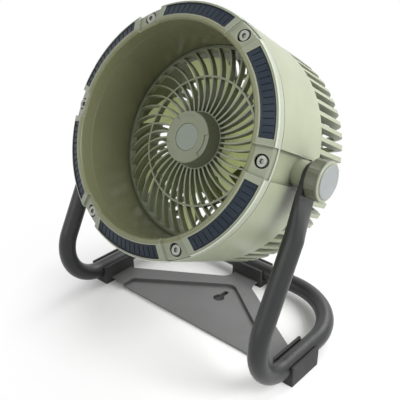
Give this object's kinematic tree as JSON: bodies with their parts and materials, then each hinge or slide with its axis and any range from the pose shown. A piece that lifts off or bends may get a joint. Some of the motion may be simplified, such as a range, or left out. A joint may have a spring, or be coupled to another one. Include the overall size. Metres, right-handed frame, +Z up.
{
  "type": "portable camping fan",
  "caption": "Portable camping fan with a round louvred head, deep front duct and spiral grille, tilting on clamp knobs between the arms of a bent tube stand.",
  "frame": {"origin": "on the floor under the middle of the whole fan's outline, with the head in the modelled tilt", "axes": "+Z up, -Y the way the fan faces, +X along the tilt axis to the fan's own left as it faces a viewer, which is the viewer's right"},
  "size_m": [0.2952, 0.2298, 0.3381],
  "materials": {
    "green_shell": "fine matt texture",
    "dark_duct": "fine matt texture",
    "slate_rubber": "moulded matt",
    "grey_trim": "satin",
    "pale_trim": "satin",
    "tube_paint": "fine textured powder coat",
    "plate_paint": "fine textured powder coat",
    "foot_rubber": "moulded matt",
    "steel": "zinc plated",
    "motor_steel": "nickel plated",
    "brass": "turned",
    "copper_winding": "lacquered copper wire",
    "impeller_plastic": "satin",
    "cell_wrap": "shrink wrap",
    "board": "solder mask",
    "light_bar": "clouded diffuser",
    "fibre_washer": "pressed fibre"
  },
  "bodies": {
    "stand": {"tube_frame": "tube_paint", "base_plate": "plate_paint", "left_foot": "foot_rubber", "right_foot": "foot_rubber", "rear_foot": "foot_rubber", "foot_screws": "steel", "left_friction_washer": "fibre_washer", "right_friction_washer": "fibre_washer"},
    "head": {"front_bezel": "green_shell", "bezel_screws": "steel", "screw_washers": "foot_rubber", "barrel_housing": "green_shell", "air_duct": "dark_duct", "front_grille": "green_shell", "hub_cap": "grey_trim", "hub_disc": "pale_trim", "stator": "copper_winding", "bearing_tube": "impeller_plastic", "motor_bearings": "steel", "battery_pod": "dark_duct", "battery_cells": "cell_wrap", "control_board": "board", "rear_cover": "green_shell", "charge_port": "motor_steel", "level_light": "light_bar", "button_spring": "steel", "left_pivot_insert": "brass", "right_pivot_insert": "brass", "rim_pad_1": "slate_rubber", "rim_pad_2": "slate_rubber", "rim_pad_3": "slate_rubber", "rim_pad_4": "slate_rubber", "rim_pad_5": "slate_rubber", "rim_pad_6": "slate_rubber"},
    "fan": {"impeller": "impeller_plastic", "rotor_can": "motor_steel", "motor_shaft": "steel", "shaft_nut": "brass"},
    "left_knob": {"left_clamp_knob": "green_shell", "left_knob_disc": "pale_trim", "left_clamp_bolt": "steel"},
    "right_knob": {"right_clamp_knob": "green_shell", "right_knob_disc": "pale_trim", "right_clamp_bolt": "steel"},
    "dial": {"speed_dial": "pale_trim", "dial_spindle": "motor_steel"},
    "button": {"power_button": "pale_trim"},
    "flap": {"port_flap": "foot_rubber"}
  },
  "joints": [
    {"name": "head_tilt", "type": "hinge", "parent": "stand", "child": "head", "pos_m": [0, -0.0134, 0.2075], "axis": [1, 0, 0], "range_deg": [-117, 153]},
    {"name": "impeller_spin", "type": "hinge", "parent": "head", "child": "fan", "pos_m": [0, -0.0134, 0.2075], "axis": [0, -0.891, 0.454], "continuous": true},
    {"name": "left_knob_turn", "type": "hinge", "parent": "head", "child": "left_knob", "pos_m": [0, -0.0134, 0.2075], "axis": [-1, 0, 0], "continuous": true},
    {"name": "right_knob_turn", "type": "hinge", "parent": "head", "child": "right_knob", "pos_m": [0, -0.0134, 0.2075], "axis": [1, 0, 0], "continuous": true},
    {"name": "speed_dial_turn", "type": "hinge", "parent": "head", "child": "dial", "pos_m": [0, 0.07214, 0.16392], "axis": [0, 0.891, -0.454], "range_deg": [0, 270]},
    {"name": "power_button_press", "type": "slide", "parent": "head", "child": "button", "axis": [0, -0.891, 0.454], "range_m": [0, 0.0011], "stiffness_N_per_m": 600, "springref_m": -0.001},
    {"name": "port_flap_lift", "type": "hinge", "parent": "head", "child": "flap", "pos_m": [0.031, 0.07373, 0.16771], "axis": [1, 0, 0], "range_deg": [0, 100]}
  ]
}
